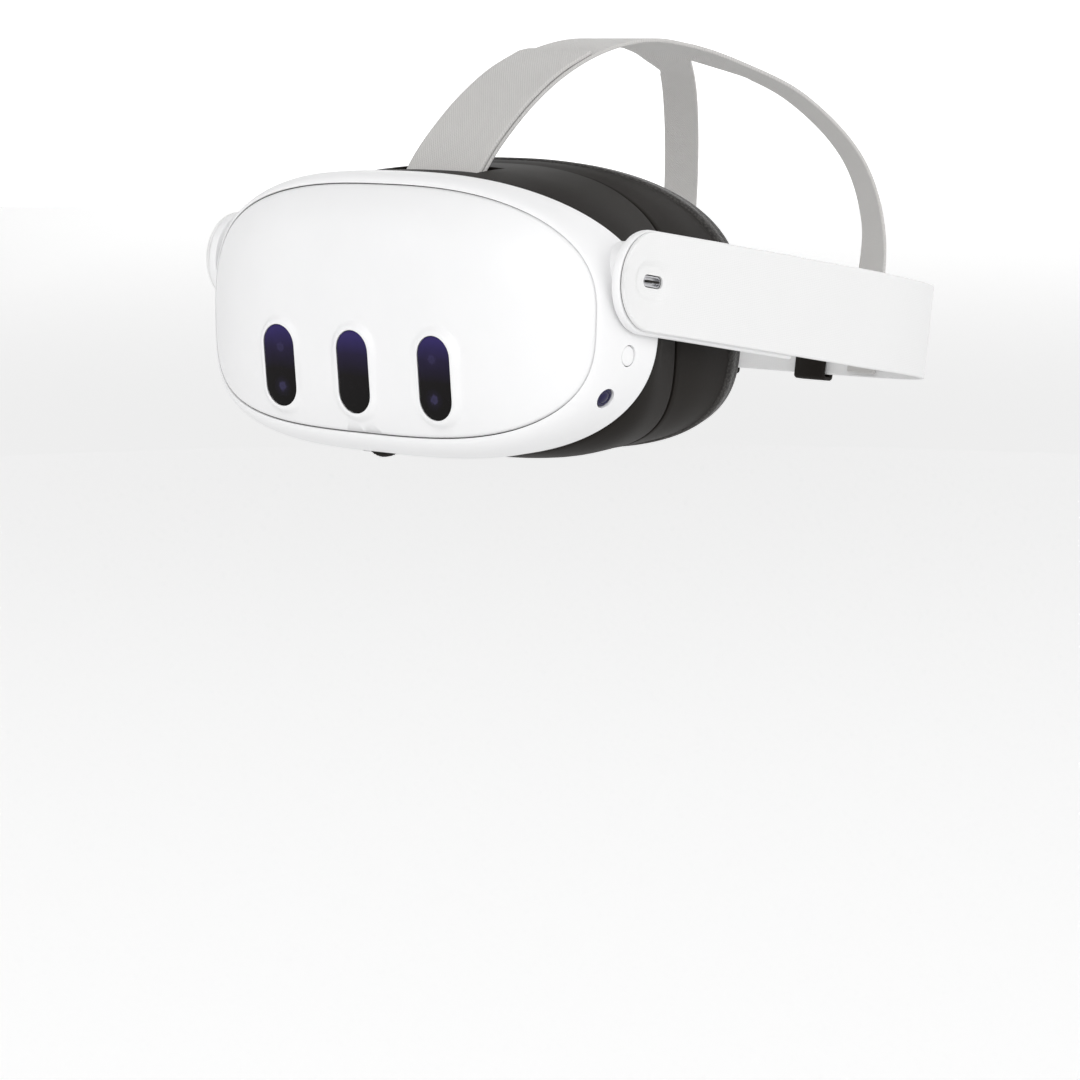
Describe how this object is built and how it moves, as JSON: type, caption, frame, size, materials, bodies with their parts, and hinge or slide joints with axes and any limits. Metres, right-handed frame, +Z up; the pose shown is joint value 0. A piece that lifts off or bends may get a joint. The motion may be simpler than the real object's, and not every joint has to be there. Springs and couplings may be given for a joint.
{
  "type": "vr headset",
  "caption": "Standalone virtual reality headset: white visor with pill sensor windows, black facial interface, pivoting head band and forked top strap.",
  "frame": {"origin": "on the surface the headset rests on, under the middle of its bounding box", "axes": "+X to the wearer's left, +Y to the back of the head, +Z up"},
  "size_m": [0.1976, 0.2526, 0.141],
  "materials": {
    "white_plastic": "fine satin moulded",
    "black_plastic": "fine matte moulded",
    "foam": "knit-covered foam",
    "dark_glass": "polished smoked window",
    "lens_glass": "polished coated lens",
    "grey_webbing": "knitted elastic",
    "white_band": "fine ribbed weave",
    "steel": "turned",
    "aluminium": "extruded",
    "circuit_board": "solder mask",
    "battery_wrap": "film wrapped"
  },
  "bodies": {
    "visor": {"front_cover": "white_plastic", "visor_shell": "white_plastic", "rear_housing": "black_plastic", "lens_panel": "black_plastic", "proximity_sensor": "dark_glass", "sensor_window_left": "dark_glass", "sensor_window_center": "dark_glass", "sensor_window_right": "dark_glass", "camera_left_upper": "black_plastic", "camera_left_lower": "black_plastic", "camera_right_upper": "black_plastic", "camera_right_lower": "black_plastic", "depth_projector": "black_plastic", "side_camera_left": "dark_glass", "side_camera_right": "dark_glass", "main_board": "circuit_board", "heat_sink": "aluminium", "battery": "battery_wrap", "fan_housing": "black_plastic", "microphone_left": "steel", "microphone_right": "steel", "panel_screw_1": "steel", "panel_screw_2": "steel", "panel_screw_3": "steel", "panel_screw_4": "steel", "pivot_sleeve_left": "steel", "pivot_sleeve_right": "steel", "strap_anchor": "black_plastic", "top_strap_tab": "grey_webbing"},
    "head_strap": {"head_band": "white_band", "arm_core_left": "white_plastic", "arm_core_right": "white_plastic", "speaker_left": "black_plastic", "speaker_right": "black_plastic", "usb_c_port": "steel", "audio_jack": "steel", "top_strap": "grey_webbing"},
    "face": {"face_frame": "black_plastic", "face_pad": "foam"},
    "depth_button_left": {"depth_button_left": "black_plastic"},
    "depth_button_right": {"depth_button_right": "black_plastic"},
    "lens_left": {"lens_tube_left": "black_plastic", "lens_left": "lens_glass", "display_left": "dark_glass", "ipd_rack_left": "black_plastic"},
    "lens_right": {"lens_tube_right": "black_plastic", "lens_right": "lens_glass", "display_right": "dark_glass", "ipd_rack_right": "black_plastic"},
    "ipd_wheel": {"ipd_wheel": "black_plastic"},
    "volume_rocker": {"volume_rocker": "white_plastic"},
    "power_button": {"power_button": "white_plastic"},
    "fan_rotor": {"fan_rotor": "black_plastic"},
    "strap_slider_left": {"strap_slider_left": "black_plastic"},
    "strap_slider_right": {"strap_slider_right": "black_plastic"}
  },
  "joints": [
    {"name": "strap_pivot", "type": "hinge", "parent": "visor", "child": "head_strap", "pos_m": [0, -0.08409, 0.063], "axis": [1, 0, 0], "range_deg": [-12, 20], "deforming": ["top_strap", "top_strap_tab"]},
    {"name": "face_depth", "type": "slide", "parent": "visor", "child": "face", "axis": [0, 1, 0], "range_m": [0, 0.009]},
    {"name": "depth_button_left_press", "type": "slide", "parent": "face", "child": "depth_button_left", "axis": [1, 0, 0], "range_m": [0, 0.0015], "stiffness_N_per_m": 400},
    {"name": "depth_button_right_press", "type": "slide", "parent": "face", "child": "depth_button_right", "axis": [-1, 0, 0], "range_m": [0, 0.0015], "stiffness_N_per_m": 400},
    {"name": "lens_left_shift", "type": "slide", "parent": "visor", "child": "lens_left", "axis": [1, 0, 0], "range_m": [-0.0033, 0.0033]},
    {"name": "lens_right_shift", "type": "slide", "parent": "visor", "child": "lens_right", "axis": [1, 0, 0], "range_m": [-0.0034, 0.0034]},
    {"name": "ipd_wheel_turn", "type": "hinge", "parent": "visor", "child": "ipd_wheel", "pos_m": [0, -0.11099, 0.0099], "axis": [0, 1, 0], "range_deg": [-88, 88]},
    {"name": "volume_rocker_tilt", "type": "hinge", "parent": "visor", "child": "volume_rocker", "pos_m": [-0.045, -0.10549, 0.0051], "axis": [0, 1, 0], "range_deg": [-2.5, 2.5], "stiffness_Nm_per_rad": 0.05},
    {"name": "power_button_press", "type": "slide", "parent": "visor", "child": "power_button", "axis": [-1, 0, 0], "range_m": [0, 0.0006], "stiffness_N_per_m": 800},
    {"name": "fan_spin", "type": "hinge", "parent": "visor", "child": "fan_rotor", "pos_m": [0, -0.09949, 0.072], "axis": [0, 1, 0], "continuous": true},
    {"name": "strap_slider_left_shift", "type": "slide", "parent": "head_strap", "child": "strap_slider_left", "axis": [1, 0, 0], "range_m": [-0.006, 0.006]},
    {"name": "strap_slider_right_shift", "type": "slide", "parent": "head_strap", "child": "strap_slider_right", "axis": [1, 0, 0], "range_m": [-0.006, 0.006]}
  ],
  "couplings": [
    {"joint": "lens_right_shift", "follows": "lens_left_shift", "ratio": -1},
    {"joint": "ipd_wheel_turn", "follows": "lens_left_shift", "rad_per_m": 454.55}
  ]
}
